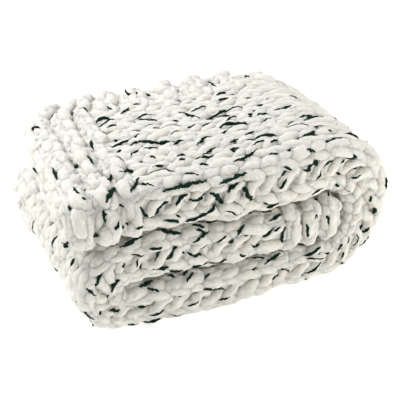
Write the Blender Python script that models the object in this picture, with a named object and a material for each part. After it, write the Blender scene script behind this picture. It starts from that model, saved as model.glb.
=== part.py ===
"""Folded knit throw: one cloth, folded in three across and then in three along."""
import math

import bpy
import bmesh
from mathutils import Vector
from mathutils.geometry import delaunay_2d_cdt

for item in list(bpy.data.objects):
    bpy.data.objects.remove(item, do_unlink=True)

# The stack of three bands, in metres. The bands are counted up from the floor.
BOTTOM_CENTRE = 0.0370
MIDDLE_CENTRE = 0.1200
TOP_CENTRE = 0.2200
BOTTOM_HALF = 0.0370
MIDDLE_HALF = 0.0425
MIDDLE_END_HALF = 0.0395
TOP_HALF = 0.0520
LEFT_BEND_X = -0.2030
RIGHT_BEND_X = 0.1470
RIGHT_BEND_FULLNESS = 0.0010
STACK_TOP = 0.2720

# Where the two knitted ends of the cloth stop, and how they are cut.
INNER_END_X = 0.1850
ROUND_REACH = 0.0430
LEAST_HALF = 0.0100
OUTER_END_X = -0.2822
OUTER_END_HALF = 0.0505
END_SKEW = 0.0800
END_SKEW_FADE = 0.3400
CORNER_CUT = 0.6000
CORNER_Y = 0.1200
CORNER_PULL = 0.0150
CORNER_RUN = 0.1300

# The cross-section, front to back.
FRONT_Y = -0.1660
FREE_EDGE_Y = 0.1820
BACK_FOLD_Y = 0.1640
TUCKED_EDGE_Y = -0.1060
LAYER_GAP = 0.0040

# The knit as it reads from a step away.
WALE_PITCH = 0.0340
WALE_DEPTH = 0.0065
WALES_ON_TOP = 8
WALES_ON_FRONT = 4
FIRST_WALE = 0.0095
FRONT_WALE_START = 0.1750
FRONT_WALE_SHARE = 0.2350
FRONT_WALE_WEIGHT = 0.8000
RIDGE_PITCH = 0.0400
RIDGE_DEPTH = 0.0075
RIDGES = 3
HALF_VALLEY = 0.3500
BORDER_WALE = 0.2000
END_VALLEY = 0.6000
FLOOR_FADE = 0.0300
FLAT_FACING = 0.9800

# How far the two lower bands stand back at each end, how the left end is lifted
# and flares at the back, how the right end bows out, and how the edges wave.
LEFT_SETBACK = 0.0090
LEFT_SETBACK_RUN = 0.2000
RIGHT_SETBACK = 0.0020
RIGHT_SETBACK_START = 0.1000
RIGHT_SETBACK_RUN = 0.1300
SETBACK_TOP = 0.1550
SETBACK_FADE = 0.0300
LEFT_LIFT = 0.0180
LEFT_LIFT_RUN = 0.1500
LEFT_FLARE = 0.0120
LEFT_FLARE_START = 0.0800
LEFT_FLARE_RUN = 0.1400
FLARE_Y = -0.0500
FLARE_RUN = 0.2000
FLARE_Z = 0.0300
FLARE_RISE = 0.1000
RIGHT_BOW = 0.0100
RIGHT_BOW_START = 0.0800
RIGHT_BOW_RUN = 0.1600
EDGE_WAVE = 0.0025
EDGE_WAVE_LENGTH = 0.2700
EDGE_WAVE_RISE = 19.0

# Points closer than this join, and points lower than this rest on the floor.
JOIN_REACH = 0.000001
FLOOR_REACH = 0.00002

# The folds in the order in which the cloth runs, from its inner end to its outer end.
# shape, start x, end x, centre height, start half, end half, steps
RUNS = (
    ("straight", INNER_END_X - RIDGES * RIDGE_PITCH, LEFT_BEND_X, MIDDLE_CENTRE,
     MIDDLE_HALF, MIDDLE_END_HALF, 4),
    ("bend", LEFT_BEND_X, LEFT_BEND_X, 0.0, MIDDLE_END_HALF, BOTTOM_HALF, 11),
    ("straight", LEFT_BEND_X, RIGHT_BEND_X, BOTTOM_CENTRE, BOTTOM_HALF, BOTTOM_HALF, 6),
    ("bend", RIGHT_BEND_X, RIGHT_BEND_X, 0.0, BOTTOM_HALF, TOP_HALF, 16),
    ("straight", RIGHT_BEND_X, OUTER_END_X + RIDGES * RIDGE_PITCH, TOP_CENTRE, TOP_HALF, TOP_HALF, 6),
)


def smooth(value):
    """Ease a value between nought and one."""
    part = min(1.0, max(0.0, value))
    return part * part * (3.0 - 2.0 * part)


def set_back(x, y, z):
    """Let the front of the two lower bands stand back at both ends, with the back edge kept."""
    left = LEFT_SETBACK * smooth(-x / LEFT_SETBACK_RUN) * smooth((SETBACK_TOP - z) / SETBACK_FADE + 1.0)
    right = RIGHT_SETBACK * smooth((x - RIGHT_SETBACK_START) / RIGHT_SETBACK_RUN)
    return y + (left + right) * (BACK_FOLD_Y - y) / (BACK_FOLD_Y - FRONT_Y)


def spread(x, y, z, slanted):
    """Flare the back of the left-hand fold, and bow out the middle of the right-hand one."""
    flare = (1.0 - slanted) * LEFT_FLARE * smooth((y - FLARE_Y) / FLARE_RUN)
    flare *= smooth((z - FLARE_Z) / FLARE_RISE)
    across = min(1.0, max(0.0, (y - FRONT_Y) / (FREE_EDGE_Y - FRONT_Y)))
    bow = RIGHT_BOW * math.sin(math.pi * across)
    out = bow * smooth((x - RIGHT_BOW_START) / RIGHT_BOW_RUN)
    return x + out - flare * smooth((-x - LEFT_FLARE_START) / LEFT_FLARE_RUN)


def lift(x, z):
    """Raise the middle of the stack toward its left end, with floor and top kept."""
    share = math.sin(math.pi * min(1.0, max(0.0, z / STACK_TOP)))
    return z + LEFT_LIFT * smooth(-x / LEFT_LIFT_RUN) * share


def end_half(x):
    """Give the half thickness that fits the inner end inside the right-hand bend."""
    reach = ROUND_REACH ** 2 - (max(x, RIGHT_BEND_X) - RIGHT_BEND_X) ** 2
    return min(MIDDLE_HALF, math.sqrt(max(LEAST_HALF ** 2, reach)))


def stations():
    """List the cuts along the cloth: centre, facing, half thickness, wale, ridge and slant weights."""
    rows = []
    quarter = RIDGE_PITCH / 4.0
    valleys = (1.0, HALF_VALLEY, 0.0, HALF_VALLEY)
    for step in range(4 * RIDGES):
        x = INNER_END_X - step * quarter
        ridge = valleys[step % 4] if step else 0.0
        rows.append((x, MIDDLE_CENTRE, 90.0, end_half(x), BORDER_WALE, ridge, 0.0))
    for shape, start, end, height, half_a, half_b, steps in RUNS:
        for step in range(steps):
            part = step / steps
            half = half_a + (half_b - half_a) * part
            if shape == "straight":
                facing = 270.0 if height == BOTTOM_CENTRE else 90.0
                slant = 1.0 if height == TOP_CENTRE else 0.0
                rows.append((start + (end - start) * part, height, facing, half, 1.0, 0.0, slant))
                continue
            left = start < 0.0
            upper = MIDDLE_CENTRE if left else TOP_CENTRE
            middle = (upper + BOTTOM_CENTRE) / 2.0
            radius = (upper - BOTTOM_CENTRE) / 2.0
            facing = (90.0 if left else 270.0) + 180.0 * part
            half += 0.0 if left else RIGHT_BEND_FULLNESS * math.sin(math.pi * part)
            x = start + radius * math.cos(math.radians(facing))
            z = middle + radius * math.sin(math.radians(facing))
            rows.append((x, z, facing, half, 1.0, 0.0, 0.0))
    border_start = OUTER_END_X + RIDGES * RIDGE_PITCH
    for step in range(4 * RIDGES + 1):
        part = step / (4 * RIDGES)
        half = TOP_HALF + (OUTER_END_HALF - TOP_HALF) * part
        height = TOP_CENTRE + TOP_HALF - half
        ridge = END_VALLEY if part == 1.0 else valleys[step % 4]
        rows.append((border_start - step * quarter, height, 90.0, half, BORDER_WALE, ridge, 1.0))
    return rows


def section(half):
    """Outline of the three layers: y, n, outward y, outward n, wale weight, ridge weight."""
    layer = (2.0 * half - 2.0 * LAYER_GAP) / 3.0
    round_y = FRONT_Y + half
    points = []
    # The outer layer, from its free edge forward.
    edge = layer / 2.0
    for degrees in (20.0, 55.0):
        turn = math.radians(degrees)
        y = FREE_EDGE_Y - edge + edge * math.cos(turn)
        points.append((y, half - edge + edge * math.sin(turn), 0.0, 1.0, 0.0, 0.5))
    first_valley = round_y + FIRST_WALE + WALE_PITCH * (WALES_ON_TOP - 1)
    for index in range(3 * WALES_ON_TOP):
        y = first_valley - index * WALE_PITCH / 3.0
        points.append((y, half, 0.0, 1.0, 1.0 if index % 3 == 0 else 0.0, 1.0))
    # The round front fold.
    arc = math.pi * half
    wale_arc = arc * FRONT_WALE_SHARE
    for index in range(3 * WALES_ON_FRONT):
        along = arc * FRONT_WALE_START + (index - 1) * wale_arc / 3.0
        turn = along / half
        out_y = -math.sin(turn)
        out_n = math.cos(turn)
        weight = FRONT_WALE_WEIGHT if (index - 1) % 3 == 0 else 0.0
        points.append((round_y + half * out_y, half * out_n, out_y, out_n, weight, 1.0))
    # The back of the lowest layer, its fold behind, and the tucked layer's far side.
    points.append((round_y, -half, 0.0, -1.0, 0.0, 0.0))
    points.append((0.0, -half, 0.0, -1.0, 0.0, 0.0))
    pair = layer + LAYER_GAP / 2.0
    pair_y = BACK_FOLD_Y - pair
    pair_n = -half + pair
    for degrees in (-90.0, -54.0, -18.0, 18.0, 54.0, 90.0):
        turn = math.radians(degrees)
        y = pair_y + pair * math.cos(turn)
        points.append((y, pair_n + pair * math.sin(turn), 0.0, 0.0, 0.0, 0.0))
    points.append((0.0, pair_n + pair, 0.0, 0.0, 0.0, 0.0))
    tucked_n = pair_n + (layer + LAYER_GAP) / 2.0
    for degrees in (90.0, 135.0, 180.0, 225.0, 270.0):
        turn = math.radians(degrees)
        y = TUCKED_EDGE_Y + edge * math.cos(turn)
        points.append((y, tucked_n + edge * math.sin(turn), 0.0, 0.0, 0.0, 0.0))
    points.append((0.0, tucked_n - edge, 0.0, 0.0, 0.0, 0.0))
    slit = LAYER_GAP / 2.0
    for degrees in (90.0, 0.0, -90.0):
        turn = math.radians(degrees)
        y = pair_y + slit * math.cos(turn)
        points.append((y, pair_n + slit * math.sin(turn), 0.0, 0.0, 0.0, 0.0))
    points.append((0.0, -half + layer, 0.0, 0.0, 0.0, 0.0))
    # The inside of the front fold and the under side of the outer layer.
    inner = half - layer
    for degrees in (270.0, 234.0, 198.0, 162.0, 126.0, 90.0):
        turn = math.radians(degrees)
        y = round_y + inner * math.cos(turn)
        points.append((y, inner * math.sin(turn), 0.0, 0.0, 0.0, 0.0))
    points.append((0.0, half - layer, 0.0, 0.0, 0.0, 0.0))
    for degrees in (-90.0, -50.0, -15.0):
        turn = math.radians(degrees)
        y = FREE_EDGE_Y - edge + edge * math.cos(turn)
        points.append((y, half - edge + edge * math.sin(turn), 0.0, 0.0, 0.0, 0.0))
    return points


def place(row, point):
    """Put one point of the cross-section at its place in the folded stack."""
    x, z, facing, half, wale, ridge, slanted = row
    y, n, out_y, out_n, wale_here, ridge_here = point
    turn = math.radians(facing)
    height = z + n * math.sin(turn)
    relief = WALE_DEPTH * wale * wale_here + RIDGE_DEPTH * ridge * ridge_here
    if out_n > FLAT_FACING:
        relief *= smooth(height / FLOOR_FADE)
    y -= out_y * relief
    n -= out_n * relief
    pz = z + n * math.sin(turn)
    px = spread(x + n * math.cos(turn), y, pz, slanted)
    slant = slanted * (END_SKEW * y + CORNER_CUT * max(0.0, y - CORNER_Y))
    corner = slanted * smooth((OUTER_END_X + CORNER_RUN - px) / CORNER_RUN)
    px += slant * smooth((OUTER_END_X + END_SKEW_FADE - px) / END_SKEW_FADE)
    y -= CORNER_PULL * corner * smooth((y - CORNER_Y) / (FREE_EDGE_Y - CORNER_Y))
    py = y + EDGE_WAVE * math.sin(2.0 * math.pi * px / EDGE_WAVE_LENGTH + pz * EDGE_WAVE_RISE)
    return px, set_back(px, py, pz), lift(px, pz)


def close_end(shape, ring):
    """Fill one end of the cloth, seen along its length, with well shaped triangles."""
    flat = [Vector((vert.co.y, vert.co.z)) for vert in ring]
    filled = delaunay_2d_cdt(flat, [], [list(range(len(ring)))], 1, JOIN_REACH)
    sources = filled[3]
    for corners in filled[2]:
        shape.faces.new([ring[sources[corner][0]] for corner in corners])


def throw_mesh():
    """Join the cross-sections into one closed body and cap its two ends."""
    shape = bmesh.new()
    rings = []
    for row in stations():
        ring = [shape.verts.new(place(row, point)) for point in section(row[3])]
        rings.append(ring)
    count = len(rings[0])
    for before, after in zip(rings, rings[1:]):
        for index in range(count):
            follow = (index + 1) % count
            shape.faces.new((before[index], before[follow], after[follow], after[index]))
    bmesh.ops.triangulate(shape, faces=list(shape.faces), quad_method="SHORT_EDGE")
    for ring in (rings[0], rings[-1]):
        close_end(shape, ring)
    bmesh.ops.recalc_face_normals(shape, faces=list(shape.faces))
    low_x = min(vert.co.x for vert in shape.verts)
    high_x = max(vert.co.x for vert in shape.verts)
    low_y = min(vert.co.y for vert in shape.verts)
    high_y = max(vert.co.y for vert in shape.verts)
    for vert in shape.verts:
        vert.co.x -= (low_x + high_x) / 2.0
        vert.co.y -= (low_y + high_y) / 2.0
        if vert.co.z < FLOOR_REACH:
            vert.co.z = 0.0
    mesh = bpy.data.meshes.new("throw")
    shape.to_mesh(mesh)
    shape.free()
    return mesh


def yarn_material():
    """Make the soft cream surface of the cloth."""
    material = bpy.data.materials.new("cream_chenille")
    material.use_nodes = True
    surface = material.node_tree.nodes["Principled BSDF"]
    surface.inputs["Base Color"].default_value = (0.83, 0.82, 0.77, 1.0)
    surface.inputs["Roughness"].default_value = 0.95
    surface.inputs["Metallic"].default_value = 0.0
    return material


throw = bpy.data.objects.new("throw", throw_mesh())
throw.data.materials.append(yarn_material())
bpy.context.scene.collection.objects.link(throw)
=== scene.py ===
import math

import bmesh
import bpy
import numpy as np
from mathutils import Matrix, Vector
from mathutils.bvhtree import BVHTree


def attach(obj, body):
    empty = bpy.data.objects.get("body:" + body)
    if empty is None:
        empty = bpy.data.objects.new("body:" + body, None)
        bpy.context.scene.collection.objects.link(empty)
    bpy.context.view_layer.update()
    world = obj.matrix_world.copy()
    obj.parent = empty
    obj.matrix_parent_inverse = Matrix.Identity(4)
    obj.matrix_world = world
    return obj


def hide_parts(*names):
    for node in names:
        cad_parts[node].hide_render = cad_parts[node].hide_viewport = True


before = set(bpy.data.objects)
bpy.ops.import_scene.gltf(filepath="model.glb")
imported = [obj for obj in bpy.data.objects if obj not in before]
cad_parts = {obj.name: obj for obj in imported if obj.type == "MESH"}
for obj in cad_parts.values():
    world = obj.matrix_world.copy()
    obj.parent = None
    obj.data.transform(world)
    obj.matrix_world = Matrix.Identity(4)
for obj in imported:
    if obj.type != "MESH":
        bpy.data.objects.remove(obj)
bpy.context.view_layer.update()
print("frame loaded")

# The folded stack, in metres, apart from the slopes endSkew and cornerCut, the powers of the
# two fullnesses, and edgeWaveRise in radians a metre. A run is the distance of a whole change
fold = {
    "bottomCentre": 0.0370, "middleCentre": 0.1200, "topCentre": 0.2200, "stackTop": 0.2720,
    "bottomHalf": 0.0370, "middleHalf": 0.0425, "middleEndHalf": 0.0395, "topHalf": 0.0520,
    "leftBendX": -0.2030, "rightBendX": 0.1470, "rightBendFullness": 0.0010,
    "innerEndX": 0.1850, "roundReach": 0.0430, "leastSquare": 0.0001,
    "outerEndX": -0.2822, "outerEndHalf": 0.0505, "borderLength": 0.1200,
    "frontY": -0.1660, "freeEdgeY": 0.1820, "backFoldY": 0.1640, "tuckedEdgeY": -0.1060,
    "layerGap": 0.0040, "edgeInset": 0.0085, "yarnInset": 0.0022,
    "topUnderFill": 0.0095, "middleUpperFill": 0.0030, "bottomUpperFill": 0.0035,
    "fullness": 4.2, "cornerFullness": 1.6,
    "cornerFullnessStart": 0.0800, "cornerFullnessRun": 0.1400,
    "endSkew": 0.0800, "endSkewFade": 0.3400, "cornerCut": 0.6000, "cornerY": 0.1200,
    "cornerPull": 0.0150, "cornerRun": 0.1300,
    "leftSetback": 0.0090, "leftSetbackRun": 0.2000, "setbackTop": 0.1550, "setbackFade": 0.0300,
    "rightSetback": 0.0020, "rightSetbackStart": 0.1000, "rightSetbackRun": 0.1300,
    "leftLift": 0.0180, "leftLiftRun": 0.1500,
    "leftFlare": 0.0120, "leftFlareStart": 0.0800, "leftFlareRun": 0.1400,
    "flareY": -0.0500, "flareRun": 0.2000, "flareZ": 0.0300, "flareRise": 0.1000,
    "rearDrop": 0.0090, "rearDropX": 0.0500, "rearDropRun": 0.1200,
    "rearDropY": 0.0900, "rearDropReach": 0.0800, "rearDropZ": 0.1600, "rearDropRise": 0.0900,
    "rightBow": 0.0100, "rightBowStart": 0.0800, "rightBowRun": 0.1600,
    "edgeWave": 0.0025, "edgeWaveLength": 0.2700, "edgeWaveRise": 19.0,
    "shiftX": 0.0006, "shiftY": -0.0078,
    "probe": 0.0010,  # the step outward that gives a direction
}

# Wales in each stretch of the cross-section, from the free edge to the tucked edge
crossSpans = (("flat", 9.0), ("front", 3.6), ("under", 9.0), ("back", 2.0), ("tucked", 7.4))
waleCounts = [span[1] for span in crossSpans]
walesInAll = sum(waleCounts)

# Start, end, height and rows of each stretch of the length, from the inner to the outer end
borderStart = fold["innerEndX"] - fold["borderLength"]
borderEnd = fold["outerEndX"] + fold["borderLength"]
lengthRuns = (
    ("innerBorder", fold["innerEndX"], borderStart, fold["middleCentre"], 6),
    ("middle", borderStart, fold["leftBendX"], fold["middleCentre"], 8),
    ("leftBend", fold["leftBendX"], fold["leftBendX"], 0.0, 7),
    ("bottom", fold["leftBendX"], fold["rightBendX"], fold["bottomCentre"], 11),
    ("rightBend", fold["rightBendX"], fold["rightBendX"], 0.0, 9),
    ("top", fold["rightBendX"], borderEnd, fold["topCentre"], 10),
    ("outerBorder", borderEnd, fold["outerEndX"], fold["topCentre"], 6),
)
rowCounts = [run[4] for run in lengthRuns]
rowsInAll = sum(rowCounts)


def smooth(value):
    part = min(1.0, max(0.0, value))
    return part * part * (3.0 - 2.0 * part)


def between(first, last, part):
    return first + (last - first) * part


def stretchAt(place, counts):  # the stretch that a row or wale is in, and how far along it
    for index, count in enumerate(counts):
        if place < count or index == len(counts) - 1:
            return index, place / count
        place -= count


def halfAt(name, part, x):  # half the thickness of a band
    if name == "innerBorder":
        reach = fold["roundReach"] ** 2 - (max(x, fold["rightBendX"]) - fold["rightBendX"]) ** 2
        return min(fold["middleHalf"], math.sqrt(max(fold["leastSquare"], reach)))
    if name == "middle":
        return between(fold["middleHalf"], fold["middleEndHalf"], part)
    if name == "leftBend":
        return between(fold["middleEndHalf"], fold["bottomHalf"], part)
    if name == "bottom":
        return fold["bottomHalf"]
    if name == "rightBend":
        grown = between(fold["bottomHalf"], fold["topHalf"], part)
        return grown + fold["rightBendFullness"] * math.sin(math.pi * part)
    if name == "top":
        return fold["topHalf"]
    return between(fold["topHalf"], fold["outerEndHalf"], part)


def fillAt(name, part):  # how far the cloth is let out on the outer and inner side of a band
    if name in ("top", "outerBorder"):
        return 0.0, fold["topUnderFill"]
    if name == "rightBend":
        return 0.0, between(fold["bottomUpperFill"], fold["topUnderFill"], smooth(part))
    if name == "bottom":
        return 0.0, fold["bottomUpperFill"]
    if name == "leftBend":
        outer = fold["middleUpperFill"] * smooth(1.0 - 2.0 * part)
        return outer, fold["bottomUpperFill"] * part
    return fold["middleUpperFill"], 0.0


def stationAt(row):  # centre, facing, half thickness, slant and fill of the band at a row
    index, part = stretchAt(row, rowCounts)
    name, start, end, height = lengthRuns[index][:4]
    slanted = 1.0 if name in ("top", "outerBorder") else 0.0
    if name in ("leftBend", "rightBend"):
        upper = fold["middleCentre"] if name == "leftBend" else fold["topCentre"]
        radius = (upper - fold["bottomCentre"]) / 2.0
        facing = math.radians((90.0 if name == "leftBend" else 270.0) + 180.0 * part)
        x = start + radius * math.cos(facing)
        z = (upper + fold["bottomCentre"]) / 2.0 + radius * math.sin(facing)
        return x, z, facing, halfAt(name, part, x), slanted, fillAt(name, part)
    facing = math.radians(270.0 if name == "bottom" else 90.0)
    x = between(start, end, part)
    half = halfAt(name, part, x)
    if name == "outerBorder":
        height += fold["topHalf"] - half
    return x, height, facing, half, slanted, fillAt(name, part)


def crossAt(wale, half, rounder, fill):  # place and outward direction in the cross-section
    layer = (2.0 * half - 2.0 * fold["layerGap"]) / 3.0
    middle = half - layer / 2.0 - fold["yarnInset"]
    upper, lower = middle + fill[0], middle + fill[1]
    roundY = fold["frontY"] + half
    pair = layer + fold["layerGap"] / 2.0
    pairY, pairN = fold["backFoldY"] - pair, pair - half
    bend = (layer + fold["layerGap"]) / 2.0
    index, part = stretchAt(wale, waleCounts)
    name = crossSpans[index][0]
    if name == "flat":
        return between(fold["freeEdgeY"] - fold["edgeInset"], roundY, part), upper, 0.0, 1.0
    if name == "front":
        turn = math.pi * part  # a fuller bow than a half circle
        share = rounder if part < 0.5 else 0.0
        power = 2.0 / between(fold["fullness"], fold["cornerFullness"], share)
        bowY = -abs(math.sin(turn)) ** power
        bowN = math.copysign(abs(math.cos(turn)) ** power, math.cos(turn))
        bowN *= upper if part < 0.5 else lower
        return roundY + middle * bowY, bowN, -math.sin(turn), math.cos(turn)
    if name == "under":
        return between(roundY, pairY, part), -lower, 0.0, -1.0
    if name == "back":
        turn = math.pi * part
        outY, outN = math.sin(turn), -math.cos(turn)
        return pairY + bend * outY, pairN + bend * outN, outY, outN
    return between(pairY, fold["tuckedEdgeY"], part), pairN + bend, 0.0, 1.0


def settled(x, y, z, slanted):  # a point with the bows, slants and set-backs of the real stack
    across = min(1.0, max(0.0, (y - fold["frontY"]) / (fold["freeEdgeY"] - fold["frontY"])))
    bow = fold["rightBow"] * math.sin(math.pi * across)
    bow *= smooth((x - fold["rightBowStart"]) / fold["rightBowRun"])
    flare = (1.0 - slanted) * fold["leftFlare"] * smooth((y - fold["flareY"]) / fold["flareRun"])
    flare *= smooth((z - fold["flareZ"]) / fold["flareRise"])
    flare *= smooth((-x - fold["leftFlareStart"]) / fold["leftFlareRun"])
    x += bow - flare
    slant = slanted * (fold["endSkew"] * y + fold["cornerCut"] * max(0.0, y - fold["cornerY"]))
    corner = slanted * smooth((fold["outerEndX"] + fold["cornerRun"] - x) / fold["cornerRun"])
    x += slant * smooth((fold["outerEndX"] + fold["endSkewFade"] - x) / fold["endSkewFade"])
    cornerPart = (y - fold["cornerY"]) / (fold["freeEdgeY"] - fold["cornerY"])
    y -= fold["cornerPull"] * corner * smooth(cornerPart)
    wave = 2.0 * math.pi * x / fold["edgeWaveLength"] + z * fold["edgeWaveRise"]
    y += fold["edgeWave"] * math.sin(wave)
    left = fold["leftSetback"] * smooth(-x / fold["leftSetbackRun"])
    left *= smooth((fold["setbackTop"] - z) / fold["setbackFade"] + 1.0)
    right = fold["rightSetback"]
    right *= smooth((x - fold["rightSetbackStart"]) / fold["rightSetbackRun"])
    y += (left + right) * (fold["backFoldY"] - y) / (fold["backFoldY"] - fold["frontY"])
    share = math.sin(math.pi * min(1.0, max(0.0, z / fold["stackTop"])))
    z += fold["leftLift"] * smooth(-x / fold["leftLiftRun"]) * share
    drop = fold["rearDrop"] * smooth((x - fold["rearDropX"]) / fold["rearDropRun"])
    drop *= smooth((y - fold["rearDropY"]) / fold["rearDropReach"])
    z -= drop * smooth((z - fold["rearDropZ"]) / fold["rearDropRise"])
    return Vector((x + fold["shiftX"], y + fold["shiftY"], z))


def clothPoint(row, wale, rise=0.0):  # a point of the cloth, rise metres off its middle surface
    x, z, facing, half, slanted, fill = stationAt(row)
    rounder = max(0.0, -math.sin(facing))
    rounder *= smooth((-x - fold["cornerFullnessStart"]) / fold["cornerFullnessRun"])
    y, n, outY, outN = crossAt(wale, half, rounder, fill)
    y += outY * rise
    n += outN * rise
    return settled(x + n * math.cos(facing), y, z + n * math.sin(facing), slanted)


def surfaceAt(row, wale, rise=0.0):  # a point of the cloth and its outward direction
    point = clothPoint(row, wale, rise)
    return point, (clothPoint(row, wale, rise + fold["probe"]) - point).normalized()


def addObject(name, data):
    thing = bpy.data.objects.new(name, data)
    bpy.context.scene.collection.objects.link(thing)
    return thing


def finishedMesh(source, name):  # the mesh that an object comes to, which takes its place
    finished = source.evaluated_get(bpy.context.evaluated_depsgraph_get())
    mesh = bpy.data.meshes.new_from_object(finished)
    bpy.data.objects.remove(source, do_unlink=True)
    mesh.name = name
    return mesh


def triangleCount(piece):
    return sum(len(face.vertices) - 2 for face in piece.data.polygons)


def setInputs(node, values):
    for name, value in values.items():
        node.inputs[name].default_value = value


def addNode(nodes, kind, values):
    node = nodes.new(kind)
    setInputs(node, values)
    return node


def addMix(nodes, values):
    node = nodes.new("ShaderNodeMix")
    node.data_type = "RGBA"
    setInputs(node, values)
    return node


def newMaterial(name, values):
    material = bpy.data.materials.new(name)
    material.use_nodes = True
    nodes = material.node_tree.nodes
    setInputs(nodes["Principled BSDF"], values)
    return material, nodes, material.node_tree.links


# Cream pile, with painted shade: ambient occlusion darkens the base colour in its own small
# hollows and creases
yarnLook = {
    "surface": {
        "Roughness": 0.95, "Specular IOR Level": 0.1, "Sheen Weight": 0.40, "Sheen Roughness": 0.6,
        "Subsurface Weight": 0.42, "Subsurface Radius": (1.0, 0.95, 0.85),
        "Subsurface Scale": 0.008,
    },
    "fluff": {"Scale": 110.0, "Detail": 3.0},
    "pile": {"Scale": 420.0, "Detail": 4.0, "Roughness": 0.75},
    "bump": {"Strength": 1.0, "Distance": 0.0045},
    "tint": {"From Min": 0.78, "From Max": 1.12},
    "creams": {"A": (0.79, 0.762, 0.685, 1.0), "B": (0.94, 0.922, 0.848, 1.0)},
    # painted shade: the dark colour mixed into creases and hollows where ambient occlusion finds
    # the yarn hemmed in
    "paintedCreaseShade": {"A": (0.38, 0.355, 0.285, 1.0)},
    "shelter": {"Distance": 0.0075}, "shelterSamples": 8,
    "openness": {"From Min": 0.10, "From Max": 0.62},
}


def yarnMaterial():
    material, nodes, links = newMaterial("creamChenille", yarnLook["surface"])
    surface, place = nodes["Principled BSDF"], nodes.new("ShaderNodeTexCoord")
    height = nodes.new("ShaderNodeMath")
    height.operation = "ADD"
    for index, name in enumerate(("fluff", "pile")):
        noise = addNode(nodes, "ShaderNodeTexNoise", yarnLook[name])
        links.new(place.outputs["Object"], noise.inputs["Vector"])
        links.new(noise.outputs["Fac"], height.inputs[index])
    bump = addNode(nodes, "ShaderNodeBump", yarnLook["bump"])
    links.new(height.outputs[0], bump.inputs["Height"])
    links.new(bump.outputs["Normal"], surface.inputs["Normal"])
    tint = addNode(nodes, "ShaderNodeMapRange", yarnLook["tint"])
    links.new(height.outputs[0], tint.inputs["Value"])
    cream = addMix(nodes, yarnLook["creams"])
    links.new(tint.outputs["Result"], cream.inputs["Factor"])
    # Painted shade: ambient occlusion over a short reach mixes the base colour toward the dark
    # crease colour
    shelter = addNode(nodes, "ShaderNodeAmbientOcclusion", yarnLook["shelter"])
    shelter.samples = yarnLook["shelterSamples"]
    openness = addNode(nodes, "ShaderNodeMapRange", yarnLook["openness"])
    links.new(shelter.outputs["AO"], openness.inputs["Value"])
    # depth is the painted shade mix: dark in creases and hollows, cream where the yarn lies open
    depth = addMix(nodes, yarnLook["paintedCreaseShade"])
    links.new(openness.outputs["Result"], depth.inputs["Factor"])
    links.new(cream.outputs["Result"], depth.inputs["B"])
    links.new(depth.outputs["Result"], surface.inputs["Base Color"])
    return material


fleckLook = {
    "surface": {"Roughness": 0.9, "Specular IOR Level": 0.1},
    "tufts": {"Scale": 420.0}, "bump": {"Strength": 0.8, "Distance": 0.001},
    "greens": {"A": (0.00175, 0.0090, 0.00525, 1.0), "B": (0.00595, 0.0306, 0.01785, 1.0)},
}


def fleckMaterial():
    material, nodes, links = newMaterial("greenFleck", fleckLook["surface"])
    surface, place = nodes["Principled BSDF"], nodes.new("ShaderNodeTexCoord")
    tufts = addNode(nodes, "ShaderNodeTexNoise", fleckLook["tufts"])
    links.new(place.outputs["Object"], tufts.inputs["Vector"])
    green = addMix(nodes, fleckLook["greens"])
    links.new(tufts.outputs["Fac"], green.inputs["Factor"])
    links.new(green.outputs["Result"], surface.inputs["Base Color"])
    bump = addNode(nodes, "ShaderNodeBump", fleckLook["bump"])
    links.new(tufts.outputs["Fac"], bump.inputs["Height"])
    links.new(bump.outputs["Normal"], surface.inputs["Normal"])
    return material


chenille = yarnMaterial()
fleckGreen = fleckMaterial()

# The cloth itself, a thin sheet on the folds behind the stitches
cloth = {
    "stepsPerRow": 2, "stepsPerWale": 2, "edgeRow": 0.5, "lastWale": 0.9999,
    "thickness": 0.009, "flatLength": 1.60, "flatWidth": 1.00,
}


def clothSheet():
    shape = bmesh.new()
    alongSteps = rowsInAll * cloth["stepsPerRow"]
    acrossSteps = round(walesInAll * cloth["stepsPerWale"])
    bmesh.ops.create_grid(shape, x_segments=alongSteps, y_segments=acrossSteps, size=0.5)
    for vert in shape.verts:
        row, wale = (vert.co.x + 0.5) * rowsInAll, (vert.co.y + 0.5) * walesInAll
        row = cloth["edgeRow"] + row * (rowsInAll - 2.0 * cloth["edgeRow"]) / rowsInAll
        vert.co = clothPoint(row, wale * cloth["lastWale"])
    bmesh.ops.recalc_face_normals(shape, faces=shape.faces)
    mesh = bpy.data.meshes.new("knitGround")
    shape.to_mesh(mesh)
    shape.free()
    piece = addObject("knitGround", mesh)
    thicken = piece.modifiers.new("thickness", "SOLIDIFY")
    thicken.thickness = cloth["thickness"]
    thicken.offset = 0.0
    mesh.materials.append(chenille)
    return piece


ground = clothSheet()
print("cloth sheet made")

# The yarn and its stitches, in metres, or in wales and rows for what lies along the cloth
knit = {
    "yarnRadius": 0.0098, "armDepth": 0.0040, "armSpread": 0.25, "armReach": 0.80,
    "borderRows": 6, "borderReach": 0.66, "borderInset": 0.60, "ridgeDepth": 0.0062,
    "edgeDepth": 0.0070, "edgeWales": 2.0, "edgeBlend": 0.3,
    "pointsPerStitch": 36, "bevelSteps": 3, "endGap": 0.1,
    "firstStop": 2.0, "spareStops": 6,  # the yarn varies from stop to stop, two to a wale
    "bristle": 0.065, "thin": 0.86, "plump": 0.18, "fullest": 1.12, "tip": 0.25,
    "jitterAlong": 0.095, "jitterAcross": 0.065, "jitterRadius": 0.095, "jitterDepth": 0.0018,
    "lump": 0.0018, "lumpSize": 0.0105, "lumpDetail": 2, "floorGap": 0.0006, "seed": 7,
}
chance = np.random.RandomState(knit["seed"])


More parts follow.
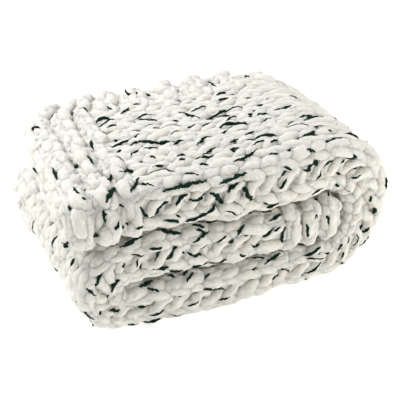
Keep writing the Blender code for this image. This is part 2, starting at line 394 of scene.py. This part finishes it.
def rowTable():  # each row's place, kind, reach in rows, and which end of its loops is in front
    table = []
    for index in range(rowsInAll):
        fromStart, fromEnd = index, rowsInAll - 1 - index
        atStart = fromStart < knit["borderRows"]
        feetInFront = fromStart % 2 == 1 if atStart else fromEnd % 2 == 0
        front = 1.0 if feetInFront else -1.0
        place, nearest = index + 0.5, min(fromStart, fromEnd)
        if nearest < knit["borderRows"]:
            inset = knit["borderInset"] * (1.0 - nearest / knit["borderRows"])
            place += inset if atStart else -inset
            table.append((place, "garter", knit["borderReach"], front))
        else:
            table.append((place, "knit", knit["armReach"], front))
    return table


def strandPath(row, kind, reach, front, firstWale, lastWale):  # place, plumpness and facing
    steps = round((lastWale - firstWale) * knit["pointsPerStitch"])
    stops = np.arange(2 * int(walesInAll) + knit["spareStops"])
    along = chance.normal(0.0, knit["jitterAlong"], len(stops))
    across = chance.normal(0.0, knit["jitterAcross"], len(stops))
    fatness = chance.normal(1.0, knit["jitterRadius"], len(stops))
    depth = chance.normal(0.0, knit["jitterDepth"], len(stops))
    path = []
    for step in range(steps + 1):
        t = firstWale + (lastWale - firstWale) * step / steps
        spot = 2.0 * t + knit["firstStop"]
        swing = math.cos(2.0 * math.pi * t)
        armTurn = 4.0 * math.pi * t
        if kind == "garter":
            rise = front * knit["ridgeDepth"] * swing
        else:
            inside = smooth((t - knit["edgeWales"]) / knit["edgeBlend"])
            knitRise = -knit["armDepth"] * math.cos(armTurn)
            rise = inside * knitRise + (1.0 - inside) * (front * knit["edgeDepth"] * swing)
        rise += float(np.interp(spot, stops, depth))
        wale = t + knit["armSpread"] * math.sin(armTurn) + float(np.interp(spot, stops, across))
        place = row - reach * swing + float(np.interp(spot, stops, along))
        plump = knit["thin"] + knit["plump"] * (0.5 + 0.5 * rise / knit["armDepth"])
        plump = min(knit["fullest"], plump) * float(np.interp(spot, stops, fatness))
        plump *= 1.0 + chance.normal(0.0, knit["bristle"])
        if step in (0, steps):
            plump *= knit["tip"]
        centre, outward = surfaceAt(place, wale, rise)
        path.append((centre, plump, outward))
    return path


def strandMesh(name, strands, radius, bevelSteps):  # a round strand along each path
    curve = bpy.data.curves.new(name, "CURVE")
    curve.dimensions = "3D"
    curve.bevel_depth = radius
    curve.bevel_resolution = bevelSteps
    curve.use_fill_caps = True
    for path in strands:
        spline = curve.splines.new("POLY")
        spline.points.add(len(path) - 1)
        for target, (place, plump, outward) in zip(spline.points, path):
            target.co = (*place, 1.0)
            target.radius = plump
    return finishedMesh(addObject(name + "Line", curve), name)


def lumpy(name, mesh, strength, size):  # soft lumps, and a flat rest on the floor
    texture = bpy.data.textures.new(name + "Lumps", "CLOUDS")
    texture.noise_scale = size
    texture.noise_depth = knit["lumpDetail"]
    rough = addObject(name + "Rough", mesh)
    lumps = rough.modifiers.new("lumps", "DISPLACE")
    lumps.texture = texture
    lumps.texture_coords = "LOCAL"
    lumps.strength = strength
    lumps.mid_level = 0.5
    bpy.context.view_layer.update()
    finished = finishedMesh(rough, name)
    for vert in finished.vertices:
        vert.co.z = max(vert.co.z, knit["floorGap"])
    finished.polygons.foreach_set("use_smooth", [True] * len(finished.polygons))
    return addObject(name, finished)


# Dark tufts spun into the yarn: sizes in metres, turns in radians round the yarn, and the
# shares that lie on an arm of a stitch or are kept towards the back
fleck = {
    "length": 0.023, "spread": 0.60, "shortest": 0.005, "longest": 0.070,
    "radius": 0.0025, "step": 0.0030, "leastSteps": 4, "bevelSteps": 1,
    "fatSpread": 0.30, "fattest": 1.35, "slim": 0.35, "slimmest": 0.5, "fatLength": 0.022,
    "tip": 0.20, "belly": 0.86, "taper": 0.7, "ragged": 0.32,
    "sit": 0.94, "side": 0.80, "turn": 0.65, "drift": 0.30, "wander": 0.0004,
    "onArm": 0.70, "armSway": 0.05, "backStep": 0.02, "backWale": 4.5, "backShare": 0.45,
    "lump": 0.0012, "lumpSize": 0.004,
}
fleckPaths = []

# The boldest tufts, each from one row and wale to another, and its width in millimetres
boldTufts = (
    (50.2, 10.2, 47.8, 10.1, 6.6), (47.4, 10.4, 45.8, 10.1, 7), (12.4, 9.4, 11.2, 9.9, 6.9),
    (21.6, 11.9, 22.6, 12.3, 6.9), (46.4, 9.4, 44.6, 9, 5.9), (47.8, 10.7, 47, 10.9, 8.2),
    (24.8, 11.1, 26.2, 10.8, 5.9), (53.8, 10, 52.6, 9.1, 7.5), (28.4, 11.6, 29.6, 12.1, 5.9),
    (46.6, 3.8, 45.8, 5, 5.9), (10.6, 9.4, 10, 9.7, 6.5), (47.8, 8.7, 46.8, 8.8, 4.9),
    (46.2, 10.7, 45.6, 10.9, 7.9), (17, 11, 15, 11, 5.9), (48.2, 11.2, 47.4, 10.9, 5.9),
    (16.6, 10.6, 15.6, 10.5, 5.6), (48.8, 10.8, 48, 10.8, 5.6), (8.6, 10.5, 8, 9.8, 5.6),
    (10.8, 10.5, 9.8, 9.9, 5.2), (11, 10.8, 10.2, 10.9, 6.2), (47.4, 8.5, 46.4, 8.2, 4.9),
    (6, 11.1, 6, 10.5, 5.9), (47.2, 7.5, 46, 6.9, 4.9), (22, 10.6, 22.8, 10.7, 5.2),
    (52, 9.9, 50.8, 9.1, 5.9), (8.4, 11, 8, 11.2, 6.9), (24, 11.6, 24.6, 12.2, 4.9),
    (23.2, 12.3, 23.6, 12.1, 7.2), (42.6, 10.7, 42, 10.8, 5.9), (4.05, 10.65, 3.75, 10.95, 5.9),
    (6.6, 10.6, 6.2, 10.5, 5.6), (19, 10.8, 20, 10.9, 6.2), (56.8, 12.5, 56.6, 11.2, 5.2),
    (50, 8.8, 49.4, 8.9, 4.3), (9.6, 10.6, 9, 10.3, 4.6), (1.75, 10.85, 2.05, 10.55, 5.9),
    (51.8, 11.1, 51.2, 11.1, 6.5), (14.6, 9.4, 14.2, 9.5, 5.6), (42.4, 9.8, 41.8, 10, 5.9),
    (48.8, 9.4, 48.2, 9.7, 4.3), (9.8, 9.3, 9.2, 9.2, 5.2), (43, 0.5, 42.8, 1.4, 4.9),
    (7.8, 10.8, 7.2, 10.9, 5.2), (16.6, 10.1, 17.2, 10.7, 4.6), (24, 10.7, 24.6, 10.8, 4.6),
    (34.79, 10.8, 35.21, 10.8, 5.2), (17.59, 9.4, 18.01, 9.4, 4.9), (48.6, 8.3, 48, 8.1, 4.9),
    (37.01, 10.8, 36.59, 10.8, 6.2), (25.8, 10.5, 26.4, 10.7, 4.3), (56.4, 2.1, 55.8, 2.9, 4.9),
    (49.6, 3, 48.8, 2.3, 4.3), (45.6, 8, 45, 7.8, 4.3), (51, 9.5, 50.4, 9.8, 3.9),
    (29.4, 11, 30, 10.8, 4.6), (56.2, 9.4, 56.2, 9.9, 5.2), (55.62, 8.98, 55.38, 9.32, 5.2),
    (54, 10.39, 54, 10.81, 5.9), (55, 10.9, 54.4, 11.2, 5.6), (53.4, 10.9, 53, 10.8, 5.9),
    (55.4, 9.5, 55, 9.6, 7.2), (52.4, 4.9, 52.6, 5.7, 5.6), (53, 9, 52.4, 8.5, 4.9),
    (51.6, 7.4, 51.2, 8, 5.4), (53.4, 6.6, 53.4, 7.6, 4.3), (51.05, 6.45, 50.75, 6.75, 5.2),
    (56.2, 6.5, 56.2, 7.6, 4.9), (50.6, 7.4, 50, 7, 4.3), (51.4, 10.7, 50.8, 10.9, 4.9),
    (25, 11.6, 25.4, 12, 4.3), (9.01, 10.7, 8.59, 10.7, 5.2), (23.98, 12.08, 24.32, 12.32, 6.9),
    (41.8, 10.9, 41.4, 10.8, 4.9), (40, 11.4, 39.4, 11.5, 5.9), (33, 10.9, 33.6, 11.2, 4.6),
    (43.8, 9, 43.2, 8.8, 4.3), (42.2, 4.9, 41.8, 5, 3.9), (40.6, 0.3, 40.6, 0.9, 4.6),
    (44.4, 9.5, 43.8, 9.5, 4.3), (48.2, 7, 47.6, 7, 4.3), (44.6, 7.8, 43.8, 7.5, 3.9),
    (28.8, 10.8, 29.4, 10.8, 4.3), (22, 11.8, 22.6, 11.4, 4.9), (38.6, 11.4, 38.2, 11.3, 5.9),
    (33.8, 10.9, 34.2, 11, 4.6), (39.2, 10.9, 38.8, 10.8, 3.9), (46.2, 2.4, 45.8, 2.6, 3.9),
    (50, 1.7, 49.8, 2.3, 3.9), (43.4, 9.6, 43, 9.5, 4.3), (40.31, 10.9, 39.89, 10.9, 5.2),
    (49.8, 7.9, 49.6, 8.3, 3.9), (10.6, 9.7, 10, 10, 4.9),
)
bold = {
    "from": 0.0220, "rest": 0.0136, "missed": 0.0050,  # ray start, usual height, no hit
    "reach": 2, "highest": 3,  # steps either way, of which the highest count
    "halfMillimetres": 2000.0, "stoutest": 0.20,  # a width to a radius, kept slim
    "step": 0.0026, "sink": 0.22, "tip": 0.14, "belly": 0.84, "taper": 0.7,
    "wander": 0.0007, "clear": 0.0130,  # no random fleck is nearer than clear
}


def thicknessAt(size, look, step, steps):  # tapered to both ends, with ragged sides
    taper = look["tip"] + look["belly"] * abs(math.sin(math.pi * step / steps)) ** look["taper"]
    return size * taper * (1.0 + chance.uniform(-fleck["ragged"], fleck["ragged"]))


def boldSpot(tuft, part):
    return between(tuft[0], tuft[2], part), between(tuft[1], tuft[3], part)


def boldPlace(tuft, part):  # about where the tuft lies
    return clothPoint(*boldSpot(tuft, part), bold["rest"])


boldPlaces = [boldPlace(tuft, quarter / 4.0) for tuft in boldTufts for quarter in range(5)]


def boldTuft(trees, tuft):  # laid over the stitches, bridging the gaps between them
    lengthwise = boldPlace(tuft, 1.0) - boldPlace(tuft, 0.0)
    steps = max(fleck["leastSteps"], round(lengthwise.length / bold["step"]))
    bases, heights = [], []
    for step in range(steps + 1):
        base, outward = surfaceAt(*boldSpot(tuft, step / steps))
        start = base + outward * bold["from"]
        hits = [tree.ray_cast(start, -outward, bold["from"]) for tree in trees]
        far = [hit[3] for hit in hits if hit[0] is not None and hit[1].dot(outward) > 0.0]
        bases.append((base, outward))
        heights.append(bold["from"] - min(far) if far else bold["missed"])
    radius = min(tuft[4] / bold["halfMillimetres"], lengthwise.length * bold["stoutest"])
    tuftPath = []
    for step, (base, outward) in enumerate(bases):
        near = heights[max(0, step - bold["reach"]):step + bold["reach"] + 1]
        near = sorted(near)[-bold["highest"]:]
        height = sum(near) / len(near) - bold["sink"] * radius
        sideways = lengthwise.cross(outward).normalized()
        place = base + outward * height + sideways * chance.normal(0.0, bold["wander"])
        thick = thicknessAt(radius / fleck["radius"], bold, step, steps)
        tuftPath.append((place, thick, outward))
    return tuftPath


def fleckAlong(path, spacing, firstWale):  # random tufts on a strand, clear of the boldest
    run = [0.0]
    for before, after in zip(path, path[1:]):
        run.append(run[-1] + (after[0] - before[0]).length)
    points = np.arange(len(path))
    spot = chance.exponential(spacing)
    while spot < run[-1]:
        length = fleck["length"] * math.exp(chance.normal(0.0, fleck["spread"]))
        length = min(fleck["longest"], max(fleck["shortest"], length))
        turn = chance.choice((-1.0, 1.0)) * fleck["side"] + chance.normal(0.0, fleck["turn"])
        drift = chance.normal(0.0, fleck["drift"])
        fat = max(fleck["slimmest"], chance.normal(1.0, fleck["fatSpread"]))
        fat = min(fleck["fattest"], fleck["slim"] + length / fleck["fatLength"], fat)
        steps = max(fleck["leastSteps"], round(length / fleck["step"]))
        if chance.uniform() < fleck["onArm"]:  # centred on the nearest arm of a stitch
            stitch = float(np.interp(spot + length / 2.0, run, points)) / knit["pointsPerStitch"]
            arm = math.floor(2.0 * stitch) + 0.5 + chance.normal(0.0, fleck["armSway"])
            middle = float(np.interp(arm / 2.0 * knit["pointsPerStitch"], points, run))
            spot = max(spot - fleck["backStep"], middle - length / 2.0)
        tuft = []
        for step in range(steps + 1):
            at = np.interp(spot + length * step / steps, run, points)
            low = min(int(at), len(path) - 2)
            first, plump, outward = path[low]
            second, nextPlump = path[low + 1][:2]
            tangent = (second - first).normalized()
            outside = (outward - tangent * outward.dot(tangent)).normalized()
            sideways = tangent.cross(outside)
            bearing = turn + drift * step / steps
            radius = fleck["sit"] * knit["yarnRadius"] * between(plump, nextPlump, at - low)
            place = first.lerp(second, at - low)
            place += (outside * math.cos(bearing) + sideways * math.sin(bearing)) * radius
            place += sideways * chance.normal(0.0, fleck["wander"])
            tuft.append((place, thicknessAt(fat, fleck, step, steps), outside))
        backward = firstWale + at / knit["pointsPerStitch"] < fleck["backWale"]
        middlePlace = tuft[len(tuft) // 2][0]
        crowded = min((middlePlace - place).length for place in boldPlaces) < bold["clear"]
        if not crowded and (not backward or chance.uniform() < fleck["backShare"]):
            fleckPaths.append(tuft)
        spot += length + chance.exponential(spacing)


def pieceOf(name, first, last, spans, spacing):
    strands = []
    for row, kind, reach, front in rowTable():
        if first <= row < last:
            for firstWale, lastWale in spans:
                path = strandPath(row, kind, reach, front, firstWale, lastWale)
                fleckAlong(path, spacing, firstWale)
                strands.append(path)
    mesh = strandMesh(name, strands, knit["yarnRadius"], knit["bevelSteps"])
    piece = lumpy(name, mesh, knit["lump"], knit["lumpSize"])
    piece.data.materials.append(chenille)
    print(name, triangleCount(piece), "triangles")
    return piece


def treeOf(piece):
    corners = [vert.co for vert in piece.data.vertices]
    return BVHTree.FromPolygons(corners, [face.vertices for face in piece.data.polygons])


# Each piece of knitting: its first and last row, its wales, and metres of yarn between flecks
outerWales, innerEndWales, backWales = (0.0, 13.2), (0.0, 14.0), (20.9, 24.4)
allWales = (0.0, walesInAll - knit["endGap"])
knitPieces = (
    ("stitchesInnerEnd", 0.0, 6.0, (innerEndWales, backWales), 0.085),
    ("stitchesMiddle", 6.0, 14.0, (outerWales, backWales), 0.031),
    ("stitchesLeftFold", 14.0, 21.0, (outerWales, backWales), 0.17),
    ("stitchesBottom", 21.0, 32.0, (outerWales, backWales), 0.043),
    ("stitchesRightFold", 32.0, 41.0, (outerWales, backWales), 0.070),
    ("stitchesTop", 41.0, 51.0, (outerWales, backWales), 0.038),
    ("stitchesOuterEnd", 51.0, 57.0, (allWales,), 0.110),
)
yarnPieces = [pieceOf(*pieceRow) for pieceRow in knitPieces]
trees = [treeOf(piece) for piece in yarnPieces]
fleckPaths += [boldTuft(trees, tuft) for tuft in boldTufts]
fleckMesh = strandMesh("greenFlecks", fleckPaths, fleck["radius"], fleck["bevelSteps"])
flecks = lumpy("greenFlecks", fleckMesh, fleck["lump"], fleck["lumpSize"])
flecks.data.materials.append(fleckGreen)
yarnPieces.append(flecks)
print(len(fleckPaths), "flecks,", triangleCount(flecks), "triangles")
print("stitches made")

for piece in [ground] + yarnPieces:
    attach(piece, "root")
    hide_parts("throw")

# Floor, light and camera
studio = {
    "floor": {
        "Base Color": (0.93, 0.92, 0.89, 1.0), "Roughness": 0.9,
        "Emission Color": (1.0, 0.99, 0.965, 1.0), "Emission Strength": 0.60,
    },
    "floorReach": 60.0,
    "sky": {"Color": (1.0, 0.993, 0.972, 1.0), "Strength": 0.390},
    "backdrop": {"Color": (1.0, 1.0, 1.0, 1.0), "Strength": 1.0},
    "lamps": (  # name, power, size, place and colour
        ("key", 39.8, 1.6, (-0.74, 0.38, 1.55), (1.0, 1.0, 1.0)),
        ("side", 10.9, 0.9, (1.02, -0.74, 0.26), (1.0, 0.975, 0.92)),
        ("front", 0.4, 1.2, (-0.10, -1.40, 0.55), (1.0, 0.98, 0.93)),
    ),
    "cameraTurn": -25.852, "cameraRise": 32.361, "cameraDistance": 1.3110,
    "cameraAim": (-0.0381, -0.0744, 0.1616), "lens": 72.09, "sensor": 36.0,
}


def makeFloor():
    shape = bmesh.new()
    bmesh.ops.create_grid(shape, x_segments=1, y_segments=1, size=studio["floorReach"])
    mesh = bpy.data.meshes.new("floor")
    shape.to_mesh(mesh)
    shape.free()
    floor = addObject("floor", mesh)
    mesh.materials.append(newMaterial("paleFloor", studio["floor"])[0])


def makeLight():
    world = bpy.data.worlds.new("studio")
    bpy.context.scene.world = world
    world.use_nodes = True
    nodes, links = world.node_tree.nodes, world.node_tree.links
    sky, backdrop = nodes["Background"], nodes.new("ShaderNodeBackground")
    setInputs(sky, studio["sky"])
    setInputs(backdrop, studio["backdrop"])
    seen, either = nodes.new("ShaderNodeLightPath"), nodes.new("ShaderNodeMixShader")
    links.new(seen.outputs["Is Camera Ray"], either.inputs["Fac"])
    links.new(sky.outputs["Background"], either.inputs[1])
    links.new(backdrop.outputs["Background"], either.inputs[2])
    links.new(either.outputs["Shader"], nodes["World Output"].inputs["Surface"])
    for name, power, size, place, colour in studio["lamps"]:
        lamp = bpy.data.lights.new(name, "AREA")
        lamp.energy = power
        lamp.size = size
        lamp.color = colour
        light = addObject(name, lamp)
        light.location = place
        aim = Vector(studio["cameraAim"]) - light.location
        light.rotation_euler = aim.to_track_quat("-Z", "Y").to_euler()


def makeCamera():
    turn, rise = math.radians(studio["cameraTurn"]), math.radians(studio["cameraRise"])
    level = math.cos(rise)
    back = Vector((math.sin(turn) * level, -math.cos(turn) * level, math.sin(rise)))
    lens = bpy.data.cameras.new("camera")
    lens.sensor_width = studio["sensor"]
    lens.lens = studio["lens"]
    camera = addObject("camera", lens)
    camera.location = Vector(studio["cameraAim"]) + back * studio["cameraDistance"]
    camera.rotation_euler = back.to_track_quat("Z", "Y").to_euler()
    bpy.context.scene.camera = camera


makeFloor()
makeLight()
makeCamera()
bpy.context.scene.view_settings.view_transform = "Standard"
print("studio made")
